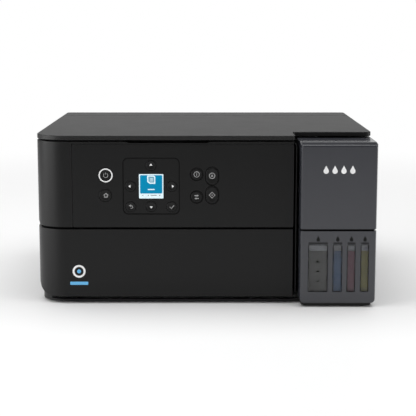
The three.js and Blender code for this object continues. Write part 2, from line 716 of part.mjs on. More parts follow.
PULLEY_X.forEach((x, i) => {
  add(i === 0 ? 'motor_pulley' : 'idler_pulley', GREY, join([
    rod('y', [34.4, 39.4], [x, BELT_Z], PULLEY_R, 20),
    rod('y', [39, 41.4], [x, BELT_Z], 2.5),
  ]));
});

function beltLoop() {
  const stadium = (r) => rounded(grow(PULLEY_X, r), grow([BELT_Z, BELT_Z], r), r - 0.01);
  const y = [34.8, 39];
  return frontal(stadium(PULLEY_R + 1.2), y).subtract(frontal(stadium(PULLEY_R + GAP), grow(y, 1)));
}

add('carriage_belt', RUBBER, beltLoop());
add('carriage_motor', STEEL, rod('y', [41.7, 70], [PULLEY_X[0], BELT_Z], 14, 20));

function platen() {
  const y = [-74, -16];
  const ribs = [];
  for (let x = -128; x <= 84; x += 26) {
    ribs.push(box([x - 1, x + 1], y, [36, 40]));
  }
  return join([box([-132, 86], y, [32, 37]), ...ribs]);
}

add('platen', INNER_BLACK, platen());

function roller(y, radius, endX) {
  return join([
    rod('x', PAPER_X, [y, ROLLER_Z], radius, 20),
    rod('x', [GEAR_X[0], endX], [y, ROLLER_Z], 3.5, 12),
  ]);
}

add('feed_roller', STEEL, roller(FEED_Y, 6, 170).add(gear(FEED_TEETH, [FEED_Y, ROLLER_Z], 0)));
add('exit_roller', INNER_BLACK, roller(EXIT_Y, 5.8, 170).add(gear(FEED_TEETH, [EXIT_Y, ROLLER_Z], 0)));
add('pinch_roller', GREY, join([
  rod('x', PAPER_X, [FEED_Y, PINCH_Z], 4),
  rod('x', [-169, 169], [FEED_Y, PINCH_Z], 2, 12),
]));
add('transfer_gear', WHITE, join([
  gear(TRANSFER_TEETH, [TRANSFER_Y, ROLLER_Z], Math.PI / TRANSFER_TEETH),
  rod('x', [GEAR_X[0], -166], [TRANSFER_Y, ROLLER_Z], 3, 12),
]));
add('feed_pinion', WHITE, join([
  gear(PINION_TEETH, [PINION_Y, ROLLER_Z], Math.PI + Math.PI / PINION_TEETH),
  rod('x', [GEAR_X[0], -166.8], [PINION_Y, ROLLER_Z], 2, 12),
]));
add('feed_motor', STEEL, rod('x', [-166.5, -138], [PINION_Y, ROLLER_Z], 13, 20));

function cappingStation() {
  const cup = box([90, 142], [-66, -22], [14, 43.4]);
  return cut(cup, [box([94, 138], [-62, -28], [36, 50]), box([88, 144], [-68, -62.5], [26, 50])]);
}

add('capping_station', WHITE, cappingStation());

// ---------------------------------------------------------------- rear feeder

const SLOPE = new THREE.Vector2(...HOPPER_HIGH).sub(new THREE.Vector2(...HOPPER_LOW)).normalize();
const HOPPER_X = [-140, 100];

// A point up the hopper and out from its paper face, as [y, z].
function onHopper(up, out) {
  return [HOPPER_LOW[0] + SLOPE.x * up - SLOPE.y * out, HOPPER_LOW[1] + SLOPE.y * up + SLOPE.x * out];
}

function hopper() {
  const cheek = outline([
    [76, 11], [110, 11], [110, 70], [162, 168], [152, 178], [123, 152], [118, 136], [74, 108],
  ]);
  const length = Math.hypot(HOPPER_HIGH[0] - HOPPER_LOW[0], HOPPER_HIGH[1] - HOPPER_LOW[1]);
  const board = outline([onHopper(0, 0), onHopper(0, -2.5), onHopper(length, -2.5), onHopper(length, 0)]);
  const ledge = outline([onHopper(0, -2.5), onHopper(3, -2.5), onHopper(3, 12), onHopper(0, 12)]);
  return cut(join([
    side(cheek, [HOPPER_X[0], HOPPER_X[0] + WALL]),
    side(cheek, [HOPPER_X[1] - WALL, HOPPER_X[1]]),
    side(board, grow(HOPPER_X, -1)),
    side(ledge, grow(HOPPER_X, -1)),
  ]), [rod('x', [-200, 200], PICKUP_YZ, 4.4)]);
}

add('hopper', INNER_BLACK, hopper());
add('pickup_roller', RUBBER, join([
  rod('x', [-45, 5], PICKUP_YZ, PICKUP_R - 2, 24),
  rod('x', grow(HOPPER_X, 3), PICKUP_YZ, 4, 12),
]));

const GUIDE_UP = [52, 122];
[['edge_guide_left', -128], ['edge_guide_right', 86]].forEach(([name, x]) => {
  const blade = outline([
    onHopper(GUIDE_UP[0], GAP), onHopper(GUIDE_UP[1], GAP), onHopper(GUIDE_UP[1], 10), onHopper(GUIDE_UP[0], 10),
  ]);
  const foot = outline([
    onHopper(GUIDE_UP[0] + 20, GAP), onHopper(GUIDE_UP[1] - 10, GAP),
    onHopper(GUIDE_UP[1] - 10, 2), onHopper(GUIDE_UP[0] + 20, 2),
  ]);
  const footX = x < 0 ? [x - 6, x + 1] : [x + 1, x + 8];
  add(name, GREY, side(blade, [x, x + 2]).add(side(foot, footX)));
});

// ---------------------------------------------------------------- electronics

function logicBoard() {
  const board = box([-132, -30], [114, 166], [20, 21.6]);
  const socket = box(USB_X, [158, BACK - 0.2], USB_Z);
  const mouth = box(grow(USB_X, -2), [164, BACK + 1], [23.4, USB_Z[1] - 1.8]);
  const heatSink = box([-80, -60], [130, 150], [21, 27]);
  return join([board, socket, heatSink]).subtract(mouth);
}

add('logic_board', PCB, logicBoard());

function powerSupply() {
  const block = box([6, 92], [114, 162], [11, 46]);
  const inlet = box(INLET_X, [160, BACK - 0.2], INLET_Z);
  const recess = frontal(rounded(grow(INLET_X, -4), grow(INLET_Z, -5), 5), [164, BACK + 1]);
  const pins = [-4.3, 4.3].map((dx) => rod('y', [162, 171], [73 + dx, 29], 1.2, 8));
  return join([join([block, inlet]).subtract(recess), ...pins]);
}

add('power_supply', INNER_BLACK, powerSupply());

export default group;
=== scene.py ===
# Looks for the ink tank printer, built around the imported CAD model.
# Lengths in this script are millimetres until they reach Blender, which takes metres.

import math

import bmesh
import bpy
from mathutils import Euler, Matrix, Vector
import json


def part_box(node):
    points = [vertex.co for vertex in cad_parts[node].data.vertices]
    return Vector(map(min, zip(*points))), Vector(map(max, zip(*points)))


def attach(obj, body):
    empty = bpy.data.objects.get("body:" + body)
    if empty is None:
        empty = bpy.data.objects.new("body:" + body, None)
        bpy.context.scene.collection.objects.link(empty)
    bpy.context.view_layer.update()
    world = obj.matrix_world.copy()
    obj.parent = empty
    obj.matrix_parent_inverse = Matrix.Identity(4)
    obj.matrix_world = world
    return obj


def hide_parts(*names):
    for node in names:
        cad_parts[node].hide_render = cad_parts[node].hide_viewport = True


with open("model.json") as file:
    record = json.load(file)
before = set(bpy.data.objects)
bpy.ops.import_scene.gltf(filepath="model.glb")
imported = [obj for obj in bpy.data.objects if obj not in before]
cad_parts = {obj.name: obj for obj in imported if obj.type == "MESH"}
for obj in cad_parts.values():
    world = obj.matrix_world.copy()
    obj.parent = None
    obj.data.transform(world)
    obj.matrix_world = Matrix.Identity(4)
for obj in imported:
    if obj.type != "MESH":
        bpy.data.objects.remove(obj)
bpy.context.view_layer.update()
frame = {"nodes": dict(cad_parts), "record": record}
NODES = frame["nodes"]
MM = 0.001
MERGE = 0.001  # points closer than this become one
PROUD = 0.02  # how far a printed mark stands off the face it lies on
SLOT_OF = {part["node"]: part["material_slot"] for part in frame["record"]["subparts"]}
INKS = ["black", "cyan", "magenta", "yellow"]

# ---------------------------------------------------------------- places


def span(node):
    """A CAD node's ranges along x, y and z at rest, in millimetres."""
    low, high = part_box(node)
    return [(low[i] / MM, high[i] / MM) for i in range(3)]


def middle(pair):
    return (pair[0] + pair[1]) / 2


def half(pair):
    return (pair[1] - pair[0]) / 2


def corner_ring(x, z, half_x, half_z, radius, steps=6):
    """Points round a rounded rectangle."""
    points = []
    for quarter, (side_x, side_z) in enumerate([(1, 1), (-1, 1), (-1, -1), (1, -1)]):
        cx = x + side_x * (half_x - radius)
        cz = z + side_z * (half_z - radius)
        for i in range(steps + 1):
            angle = math.radians(90 * (quarter + i / steps))
            points.append((cx + radius * math.cos(angle), cz + radius * math.sin(angle)))
    return points


# ---------------------------------------------------------------- materials

NOISE_RANGE = (0.3, 0.7)  # nearly all of a noise pattern's values lie in this range


def nodes_of(name):
    """A new material with its node tree and its shader."""
    material = bpy.data.materials.new(name)
    material.use_nodes = True
    tree = material.node_tree
    return material, tree, tree.nodes["Principled BSDF"]


def noise(tree, scale, detail, stretch=(1, 1, 1)):
    """A noise pattern fixed to the object, with features about 1 / scale metres across."""
    place = tree.nodes.new("ShaderNodeTexCoord")
    mapping = tree.nodes.new("ShaderNodeMapping")
    mapping.inputs["Scale"].default_value = stretch
    texture = tree.nodes.new("ShaderNodeTexNoise")
    texture.inputs["Scale"].default_value = scale
    texture.inputs["Detail"].default_value = detail
    tree.links.new(place.outputs["Object"], mapping.inputs["Vector"])
    tree.links.new(mapping.outputs["Vector"], texture.inputs["Vector"])
    return texture.outputs["Fac"]


def vary(tree, pattern, low, high, socket):
    """The pattern drives a value socket between two values."""
    ranged = tree.nodes.new("ShaderNodeMapRange")
    ranged.inputs["From Min"].default_value = NOISE_RANGE[0]
    ranged.inputs["From Max"].default_value = NOISE_RANGE[1]
    ranged.inputs["To Min"].default_value = low
    ranged.inputs["To Max"].default_value = high
    tree.links.new(pattern, ranged.inputs["Value"])
    tree.links.new(ranged.outputs["Result"], socket)


def tint(tree, pattern, color, spread, socket):
    """The pattern drives a colour socket a little either side of one colour."""
    ramp = tree.nodes.new("ShaderNodeValToRGB")
    dark, light = ramp.color_ramp.elements
    dark.position, light.position = NOISE_RANGE
    dark.color = [c * (1 - spread) for c in color] + [1]
    light.color = [min(1, c * (1 + spread)) for c in color] + [1]
    tree.links.new(pattern, ramp.inputs["Fac"])
    tree.links.new(ramp.outputs["Color"], socket)


def grain(tree, pattern, strength, depth, shader):
    """The pattern raises the surface by up to the depth."""
    bump = tree.nodes.new("ShaderNodeBump")
    bump.inputs["Strength"].default_value = strength
    bump.inputs["Distance"].default_value = depth * MM
    tree.links.new(pattern, bump.inputs["Height"])
    tree.links.new(bump.outputs["Normal"], shader.inputs["Normal"])


def surface(name, color, rough, scale=1600, strength=0.3, depth=0.08, spread=0.06, metal=0, coat=0,
            stretch=(1, 1, 1), glow=0, shine=0.5, drift=0.04):
    """A moulded or brushed finish: fine grain in the bump, slow drifts in colour and gloss."""
    material, tree, shader = nodes_of(name)
    shader.inputs["Metallic"].default_value = metal
    shader.inputs["Specular IOR Level"].default_value = shine
    shader.inputs["Coat Weight"].default_value = coat
    shader.inputs["Coat Roughness"].default_value = 0.12
    if glow:
        shader.inputs["Emission Color"].default_value = (*color, 1)
        shader.inputs["Emission Strength"].default_value = glow
    fine = noise(tree, scale, 3, stretch)
    slow = noise(tree, 45, 2)
    tint(tree, slow, color, spread, shader.inputs["Base Color"])
    vary(tree, slow, rough - drift, rough + drift, shader.inputs["Roughness"])
    grain(tree, fine, strength, depth, shader)
    return material


def clear(name, color, rough, through, scale=700, strength=0.1, shine=0.5):
    """A see-through plastic or glass."""
    material, tree, shader = nodes_of(name)
    shader.inputs["Specular IOR Level"].default_value = shine
    shader.inputs["Transmission Weight"].default_value = through
    shader.inputs["IOR"].default_value = 1.49
    slow = noise(tree, 30, 2)
    tint(tree, slow, color, 0.03, shader.inputs["Base Color"])
    vary(tree, slow, max(0, rough - 0.03), rough + 0.03, shader.inputs["Roughness"])
    grain(tree, noise(tree, scale, 2), strength, 0.03, shader)
    return material


def printed(name, color, rough=0.5, strength=0.1, spread=0.06, glow=0, shine=0.5):
    """A thin smooth layer of paint or ink, or a thin sheet of painted shade."""
    return surface(name, color, rough, 2500, strength, 0.02, spread=spread, glow=glow, shine=shine)


# The finish of every material slot.
LOOKS = {
    "body_black": surface("body_black", (0.0045, 0.0045, 0.0046), 0.36, 1500, 0.25, 0.06, spread=0.02,
                          shine=0.27, drift=0.015),
    "lid_black": surface("lid_black", (0.007, 0.007, 0.0071), 0.42, 1700, 0.2, 0.05, spread=0.01,
                         shine=0.4, drift=0.008),
    "inner_black": surface("inner_black", (0.009, 0.009, 0.009), 0.6, 700, 0.25, 0.08, shine=0.4),
    "key_black": surface("key_black", (0.0045, 0.0045, 0.0046), 0.4, 2200, 0.15, 0.04, shine=0.25),
    "smoke_grey": surface("smoke_grey", (0.0315, 0.033, 0.0405), 0.22, 1900, 0.06, 0.02, spread=0.02,
                          shine=0.65, drift=0.015),
    "grey_plastic": surface("grey_plastic", (0.16, 0.165, 0.17), 0.55, 900, 0.25, 0.08),
    "white_plastic": surface("white_plastic", (0.72, 0.72, 0.7), 0.5, 900, 0.2, 0.08),
    "white_pad": surface("white_pad", (0.8, 0.8, 0.79), 0.85, 500, 0.5, 0.3, spread=0.015),
    "scan_glass": clear("scan_glass", (0.93, 0.97, 0.96), 0.03, 1.0, 60, 0.02),
    "tank_clear": clear("tank_clear", (0.72, 0.73, 0.75), 0.22, 1.0, shine=0.2),
    "screen": surface("screen", (0.006, 0.006, 0.007), 0.3, 900, 0.05, 0.02, shine=0.3),
    "steel": surface("steel", (0.62, 0.63, 0.64), 0.34, 900, 0.15, 0.04, metal=1, stretch=(1, 14, 14)),
    "rubber": surface("rubber", (0.02, 0.02, 0.02), 0.82, 420, 0.5, 0.25),
    "circuit": surface("circuit", (0.02, 0.12, 0.05), 0.4, 300, 0.3, 0.06, spread=0.25, coat=0.4),
    "cap_black": surface("cap_black", (0.02, 0.02, 0.022), 0.45, 900, 0.2, 0.06),
    "cap_cyan": surface("cap_cyan", (0.02, 0.32, 0.62), 0.45, 900, 0.2, 0.06),
    "cap_magenta": surface("cap_magenta", (0.52, 0.04, 0.2), 0.45, 900, 0.2, 0.06),
    "cap_yellow": surface("cap_yellow", (0.75, 0.55, 0.03), 0.45, 900, 0.2, 0.06),
}

# Finishes of details that share a node's slot but look different; some are painted shade or print with a
# painted glow.
INK_COLORS = {
    "black": (0.064, 0.062, 0.056),
    "cyan": (0.017, 0.115, 0.29),
    "magenta": (0.21, 0.02, 0.07),
    "yellow": (0.32, 0.28, 0.018),
}
INK_LOOKS = {
    ink: surface(f"ink_{ink}", color, 0.5, 200, 0.05, 0.1, shine=0.1) for ink, color in INK_COLORS.items()
}
# Its faint glow is painted light on the marks, which are no lamps; only the ring round the power key is lit.
PRINT_WHITE_GLOWING = printed("print_white_glowing", (0.78, 0.78, 0.78), glow=0.15)
PRINT_GREY = printed("print_grey", (0.34, 0.34, 0.34))
# Dark print, and the painted shade in the slit above each ink window and in the vent slots.
DARK_PRINT_AND_SHADE = printed("dark_print_and_shade", (0.004, 0.004, 0.0045), shine=0.2)
# Its faint glow is painted light: the badge's blue marks are no lamp.
PRINT_BLUE_PAINTED_GLOW = printed("print_blue_painted_glow", (0.12, 0.42, 0.72), 0.4, glow=0.15)
# Painted shade and shadow round the keys, round the arrow keys' square and in the seam between the tank cover
# and the windows' housing; also the printed level marks on the black window.
SHADE_AND_MARK_BLACK = printed("shade_and_mark_black", (0.0022, 0.0022, 0.0022), 0.7, shine=0.1)
# Painted shadow in the recess round each ink window.
WINDOW_RECESS_SHADE = printed("window_recess_shade", (0.014, 0.014, 0.015), shine=0.2)
LABEL_GREY = printed("label_grey", (0.32, 0.32, 0.33), 0.45, 0.05)
SCREEN_BLUE = printed("screen_blue", (0.001, 0.12, 0.22), 0.4, 0.05, spread=0.1, glow=1.2, shine=0.05)
SCREEN_WHITE = printed("screen_white", (0.55, 0.66, 0.7), 0.4, 0.05, glow=0.6, shine=0.05)
SCREEN_PALE = printed("screen_pale", (0.13, 0.27, 0.35), 0.4, 0.05, glow=0.6, shine=0.05)
# Painted shade: a matt dark sheet standing for the lid's dark reflection on the tank cover's top.
MATT_SMOKE_SHADE = surface("matt_smoke_shade", (0.03, 0.031, 0.036), 0.85, 1500, 0.4, 0.05, shine=0.1)
INK_FILTER = surface("ink_filter", (0.38, 0.39, 0.41), 0.7, 500, 0.4, 0.2, spread=0.15)
SCREW_BLACK = surface("screw_black", (0.03, 0.03, 0.031), 0.3, 900, 0.15, 0.04, metal=0.7)
STRIP_CLEAR = clear("strip_clear", (0.5, 0.5, 0.5), 0.15, 0.9, 2500)

# ---------------------------------------------------------------- pieces


def add_piece(name, data, body):
    """Puts a mesh in the scene as a piece that rides on a body."""
    made = bpy.data.objects.new(name, data)
    bpy.context.scene.collection.objects.link(made)
    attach(made, body)
    return made


def piece(name, verts, faces, body, slot, look=None):
    """A smooth-shaded mesh piece that rides on a body; its points are in millimetres."""
    data = bpy.data.meshes.new(name)
    shape = bmesh.new()
    made = [shape.verts.new(Vector(v) * MM) for v in verts]
    for face in faces:
        shape.faces.new([made[i] for i in face])
    bmesh.ops.remove_doubles(shape, verts=shape.verts, dist=MERGE * MM)
    bmesh.ops.recalc_face_normals(shape, faces=shape.faces)
    shape.to_mesh(data)
    shape.free()
    data.shade_smooth()
    data.materials.append(look or LOOKS[slot])
    return add_piece(name, data, body)


def soften(thing, width, segments=2):
    """Rounds a piece's sharp edges and keeps its flat faces flat."""
    bevel = thing.modifiers.new("edges", "BEVEL")
    bevel.width = width * MM
    bevel.segments = segments
    bevel.limit_method = "ANGLE"
    bevel.angle_limit = math.radians(30)
    bevel.harden_normals = True
    weighted = thing.modifiers.new("normals", "WEIGHTED_NORMAL")
    weighted.keep_sharp = True


def loft(name, rings, body, slot, look=None, loop=False):
    """A skin over rings of the same number of points, closed at its ends or joined end to end."""
    count = len(rings[0])
    verts = [point for ring in rings for point in ring]
    faces = []
    spans = len(rings) if loop else len(rings) - 1
    for level in range(spans):
        here = level * count
        above = (level + 1) % len(rings) * count
        for i in range(count):
            j = (i + 1) % count
            faces.append((here + i, here + j, above + j, above + i))
    if not loop:
        faces.append(tuple(range(count)))
        faces.append(tuple(range(len(verts) - count, len(verts))))
    return piece(name, verts, faces, body, slot, look)


def levels(u, v, half_u, half_v, radius, profile, steps):
    """The rounded rectangle and the level of each (inset, level) pair of a profile."""
    for inset, level in profile:
        round_by = max(0.05, radius - inset)
        yield corner_ring(u, v, half_u - inset, half_v - inset, round_by, steps), level


def front_loft(name, x, z, half_x, half_z, radius, profile, body, slot, look=None, loop=False, steps=8):
    """A skin over rounded rectangles that face front; the profile lists (inset, y) pairs."""
    rings = []
    for ring, y in levels(x, z, half_x, half_z, radius, profile, steps):
        rings.append([(px, y, pz) for px, pz in ring])
    return loft(name, rings, body, slot, look, loop)


def top_loft(name, x, y, half_x, half_y, radius, profile, body, slot, look=None, steps=8):
    """A skin over rounded rectangles that face up; the profile lists (inset, z) pairs."""
    rings = []
    for ring, z in levels(x, y, half_x, half_y, radius, profile, steps):
        rings.append([(px, py, z) for px, py in ring])
    return loft(name, rings, body, slot, look)


def bar_along_x(name, x, section, body, slot, look):
    """A straight bar between two x values; the section lists its (y, z) corners."""
    rings = [[(end, y, z) for y, z in section] for end in x]
    return loft(name, rings, body, slot, look)


def rail(name, x, y, z, slot, look=None):
    """A straight moulded bar with softened edges, fixed to the frame, filling the given ranges."""
    profile = [(0.3, z[0]), (0, z[0] + 0.3), (0, z[1] - 0.3), (0.3, z[1])]
    top_loft(name, middle(x), middle(y), half(x), half(y), 0.6, profile, "root", slot, look, steps=3)


def curve_mesh(name, curve, look):
    """The mesh that a curve makes, in one finish."""
    source = bpy.data.objects.new(name + "_line", curve)
    bpy.context.scene.collection.objects.link(source)
    bpy.context.view_layer.update()
    data = bpy.data.meshes.new_from_object(source.evaluated_get(bpy.context.evaluated_depsgraph_get()))
    bpy.data.objects.remove(source)
    data.name = name
    data.materials.clear()
    data.materials.append(look)
    return data


TURNS = {
    "front": (90, 0, 0),
    "back": (90, 0, 180),
    "top": (0, 0, 0),
    "bottom": (180, 0, 0),
    "left": (90, 0, -90),
    "right": (90, 0, 90),
}


def stamp(name, loops, at, body, look, facing="front", depth=0.05):
    """A thin printed or moulded mark: closed loops, inner ones cut out, raised by depth at a point."""
    curve = bpy.data.curves.new(name, "CURVE")
    curve.dimensions = "2D"
    curve.fill_mode = "BOTH"
    curve.extrude = depth * MM
    for points in loops:
        spline = curve.splines.new("POLY")
        spline.points.add(len(points) - 1)
        for target, (u, v) in zip(spline.points, points):
            target.co = (u * MM, v * MM, 0, 1)
        spline.use_cyclic_u = True
    data = curve_mesh(name, curve, look)
    shape = bmesh.new()
    shape.from_mesh(data)
    bmesh.ops.remove_doubles(shape, verts=shape.verts, dist=MERGE * MM)
    shape.to_mesh(data)
    shape.free()
    turn = Euler([math.radians(a) for a in TURNS[facing]]).to_matrix().to_4x4()
    turn.translation = Vector(at) * MM
    data.transform(turn)
    return add_piece(name, data, body)


def tube(name, points, radius, body, look):
    """A round tube along a smooth path through the points."""
    curve = bpy.data.curves.new(name, "CURVE")
    curve.dimensions = "3D"
    curve.bevel_depth = radius * MM
    curve.bevel_resolution = 3
    curve.use_fill_caps = True
    spline = curve.splines.new("BEZIER")
    spline.bezier_points.add(len(points) - 1)
    for knot, point in zip(spline.bezier_points, points):
        knot.co = Vector(point) * MM
        knot.handle_left_type = "AUTO"
        knot.handle_right_type = "AUTO"
    data = curve_mesh(name, curve, look)
    data.shade_smooth()
    add_piece(name, data, body)


# ---------------------------------------------------------------- outlines for marks


def circle(radius, x=0.0, y=0.0, count=40):
    angles = [2 * math.pi * i / count for i in range(count)]
    return [(x + radius * math.cos(a), y + radius * math.sin(a)) for a in angles]


def arc(radius, start, end, x=0.0, y=0.0, count=24):
    angles = [math.radians(start + (end - start) * i / count) for i in range(count + 1)]
    return [(x + radius * math.cos(a), y + radius * math.sin(a)) for a in angles]


def stroke(points, width):
    """The outline of a line of even width through the points."""
    left, right = [], []
    for i, here in enumerate(points):
        before = Vector(points[max(0, i - 1)])
        after = Vector(points[min(len(points) - 1, i + 1)])
        along = (after - before).normalized()
        side = Vector((-along.y, along.x)) * width / 2
        left.append(tuple(Vector(here) + side))
        right.append(tuple(Vector(here) - side))
    return left + right[::-1]


def scaled(points, scale, dx=0.0, dy=0.0):
    return [(dx + scale * x, dy + scale * y) for x, y in points]


def turned(points, degrees):
    a = math.radians(degrees)
    return [(x * math.cos(a) - y * math.sin(a), x * math.sin(a) + y * math.cos(a)) for x, y in points]


def droplet(height):
    """A drop of ink: a round foot drawn up to a point."""
    radius = height * 0.32
    foot = -height / 2 + radius
    return arc(radius, 155, 385, 0, foot, 28) + [(0, height / 2)]


def bars(count, pitch, half_long, half_thick, upright=False):
    """A row of rounded slots: upright ones stand side by side, lying ones are stacked."""
    loops = []
    for i in range(count):
        step = (i - (count - 1) / 2) * pitch
        if upright:
            loops.append(corner_ring(step, 0, half_thick, half_long, half_thick * 0.95, 3))
        else:
            loops.append(corner_ring(0, step, half_long, half_thick, half_thick * 0.95, 3))
    return loops


HOUSE = [(-3.1, 0.2), (0, 2.9), (3.1, 0.2), (2.0, 0.2), (2.0, -2.3), (-2.0, -2.3), (-2.0, 0.2)]
DIAMOND = [(0, 3.7), (3.7, 0), (0, -3.7), (-3.7, 0)]
ARROW = [(-1.7, -1.05), (1.7, -1.05), (0, 1.35)]
PAGE = [(-4.3, 4.6), (3.2, 4.6), (4.6, 3.2), (4.6, -4.6), (-1.6, -4.6), (-4.3, -2.6)]
CROSS = [(-0.4, 1.8), (0.4, 1.8), (0.4, 0.4), (1.8, 0.4), (1.8, -0.4), (0.4, -0.4),
         (0.4, -1.8), (-0.4, -1.8), (-0.4, -0.4), (-1.8, -0.4), (-1.8, 0.4), (-0.4, 0.4)]
TURN_OVER = [(-2.4, 1.0), (0.5, 1.0), (0.5, 0.4), (2.4, 1.6), (0.5, 2.8), (0.5, 2.1), (-2.4, 2.1)]
KEY_MARKS = {
    "power": [stroke(arc(2.4, 125, 415), 0.6), stroke([(0, 1.0), (0, 3.2)], 0.6)],
    "home": [HOUSE, scaled(HOUSE, 0.55)],
    "help": [circle(3.3), circle(2.6), stroke([(0, -1.5), (0, 0.4)], 0.7), circle(0.45, 0, 1.3)],
    "two_sided": [TURN_OVER, [(-u, -v) for u, v in TURN_OVER]],
    "up": [ARROW],
    "down": [turned(ARROW, 180)],
    "left": [turned(ARROW, 90)],
    "right": [turned(ARROW, -90)],
    "back": [stroke(arc(1.5, -120, 100, 0.6, 0), 0.7), [(0.4, 0.2), (0.4, 2.9), (-2.4, 1.5)]],
    "ok": [stroke([(-2.2, 0.2), (-0.6, -1.6), (2.4, 1.9)], 0.9)],
    "stop": [circle(3.4), circle(2.6), [(-1.5, -1.0), (1.5, -1.0), (0, 1.7)]],
    "start": [DIAMOND, scaled(DIAMOND, 0.72), circle(0.7)],
}
BRIGHT_KEYS = {"up", "down", "left", "right"}
NAV_KEYS = BRIGHT_KEYS | {"back", "ok"}
# Keys with a ring of painted shade round them on the panel.
SHADE_RING_KEYS = ["help", "two_sided", "stop", "start"]
# How far a key's mark lies from the key's centre, to the right and up.
MARK_SHIFT = {
    "up": (0, 0.9), "down": (0, -1.0), "left": (-1.1, 0), "right": (1.2, 0), "power": (0.4, -0.2),
    "home": (0.6, 0), "back": (0, -0.3), "ok": (0, -0.4), "stop": (0, 0.5),
}

# ---------------------------------------------------------------- CAD nodes kept

# The radius of a node's softened edges, where it isn't the usual one.
EDGE = {
    "bottom_case": 0.6, "rear_case": 0.6, "rear_cover": 0.5, "lid": 0.5, "front_cover": 0.5,
    "scanner_base": 0.5, "scanner_bezel": 0.4, "control_panel": 0.25, "tank_housing": 0.5, "tank_cover": 0.9,
    "ink_tank": 0.5, "main_frame": 0.25, "hopper": 0.5, "print_carriage": 1.0, "carriage_belt": 0.15,
    "logic_board": 0.3, "tray_stopper": 0.5, "tray_extension": 0.5, "lid_pad": 0.6, "scanner_glass": 0.2,
    "feed_roller": 0.2, "exit_roller": 0.2, "transfer_gear": 0.2, "feed_pinion": 0.15,
}
USUAL_EDGE = 0.35


def finish_node(name, node):
    """Merges a CAD node's facets, rounds its edges and gives it its finish."""
    node.data.materials.clear()
    node.data.materials.append(LOOKS[SLOT_OF[name]])
    old_normals = node.data.attributes.get("custom_normal")
    if old_normals:
        node.data.attributes.remove(old_normals)
    node.data.shade_smooth()
    weld = node.modifiers.new("weld", "WELD")
    weld.merge_threshold = 0.002 * MM
    flat = node.modifiers.new("flat", "DECIMATE")
    flat.decimate_type = "DISSOLVE"
    flat.angle_limit = math.radians(1.0)
    soften(node, EDGE.get(name, USUAL_EDGE), 3)


# ---------------------------------------------------------------- keys, panel and screen

SHADE_RING_REACH = 1.2  # from a key's edge to the outer edge of the ring of painted shade round it
SHADE_RING_WIDTH = 0.75
PAD_MARGIN = 3.0  # from the arrow keys to the line round them
PAD_CORNER = 6.2
PAD_LINE = 1.0


def key_cap(button):
    """A dished key with its mark."""
    node = f"{button}_button"
    body = f"key_{button}"
    x, y, z = span(node)
    half_x = half(x)
    front = y[0]
    profile = [
        (0, y[1]), (0, front + 0.8), (0.15, front + 0.35), (0.5, front + 0.08), (1.0, front),
        (half_x * 0.35, front + 0.1), (half_x * 0.6, front + 0.3), (half_x * 0.9, front + 0.42),
    ]
    finish = LOOKS["body_black" if button in NAV_KEYS else "key_black"]
    cap = front_loft(f"{button}_key", middle(x), middle(z), half_x, half(z), half_x, profile, body,
                     "key_black", finish)
    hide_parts(node)
    look = PRINT_WHITE_GLOWING if button in BRIGHT_KEYS else PRINT_GREY
    right, up = MARK_SHIFT.get(button, (0, 0))
    at = (middle(x) + right, front - PROUD, middle(z) + up)
    stamp(f"{button}_mark", KEY_MARKS[button], at, body, look, depth=0.06)


def key_shade_ring(button):
    """A ring of painted shade on the panel round the hole a key sits in."""
    x, _, z = span(f"{button}_button")
    half_x = half(x) + SHADE_RING_REACH
    half_z = half(z) + SHADE_RING_REACH
    face = span("control_panel")[1][0]
    profile = [(0, face + 0.3), (0, face - PROUD), (SHADE_RING_WIDTH, face - PROUD), (SHADE_RING_WIDTH, face + 0.3)]
    front_loft(f"{button}_shade_ring", middle(x), middle(z), half_x, half_z, half_x, profile, "panel", "screen",
               SHADE_AND_MARK_BLACK, loop=True)


def power_ring():
    """The lit white ring round the power key."""
    x, y, z = span("power_button")
    radius = half(x)
    front = y[0]
    right, up = MARK_SHIFT["power"]
    profile = [(0.7, front + 0.5), (0.7, front - 0.15), (0.95, front - 0.3), (1.75, front - 0.3),
               (2.0, front - 0.15), (2.0, front + 0.5)]
    front_loft("power_light_ring", middle(x) + right, middle(z) + up, radius, radius, radius, profile,
               "key_power", "white_plastic", PRINT_WHITE_GLOWING, loop=True, steps=12)


def nav_pad():
    """The shadow line round the sunken square that holds the arrow keys."""
    face = span("control_panel")[1][0]
    x = (span("left_button")[0][0], span("right_button")[0][1])
    z = (span("down_button")[2][0], span("up_button")[2][1])
    profile = [(0, face + 0.3), (0, face - 0.03), (PAD_LINE, face - 0.03), (PAD_LINE, face + 0.6)]
    front_loft("nav_pad_line", middle(x), middle(z) - 0.2, half(x) + PAD_MARGIN, half(z) + PAD_MARGIN,
               PAD_CORNER, profile, "panel", "screen", SHADE_AND_MARK_BLACK, loop=True)


